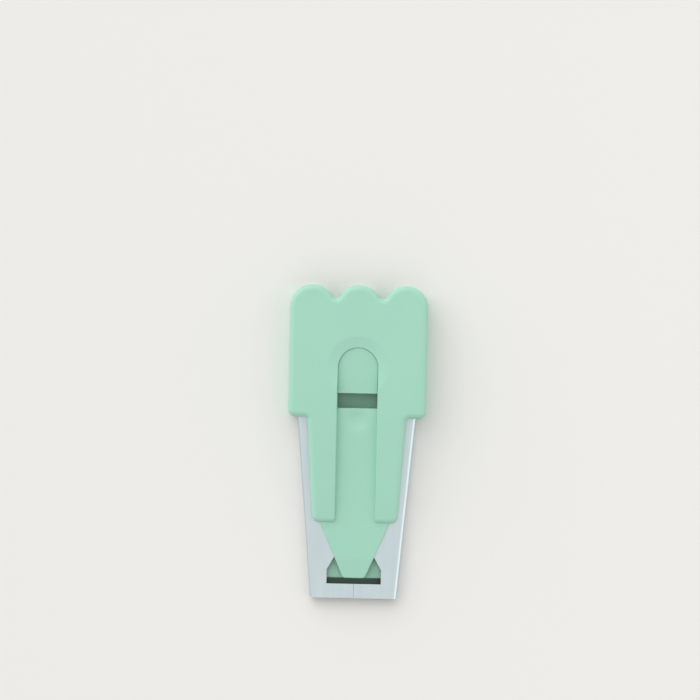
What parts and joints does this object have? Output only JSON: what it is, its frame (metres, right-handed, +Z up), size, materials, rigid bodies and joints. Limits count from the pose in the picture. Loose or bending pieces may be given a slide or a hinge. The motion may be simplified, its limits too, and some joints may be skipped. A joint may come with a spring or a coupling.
{
  "type": "bias tape maker",
  "caption": "Bias tape maker with a tapering sheet-metal folder, a window over its mouth, a top-fed web guide and a flat moulded handle with a lobed rear edge.",
  "frame": {"origin": "centre of the bounding box in plan, on the flat underside that glides on the ironing board", "axes": "+Y from the narrow mouth towards the lobed rear of the handle, +Z up through the web slot, +X to the right seen from the mouth"},
  "size_m": [0.0434, 0.099, 0.01],
  "materials": {
    "nickel_plated_steel": "satin",
    "moulded_mint": "satin"
  },
  "bodies": {
    "root": {"tape_folder": "nickel_plated_steel", "fabric_core": "moulded_mint", "web_guide": "moulded_mint", "top_cover": "moulded_mint", "bottom_cover": "moulded_mint"}
  },
  "joints": []
}
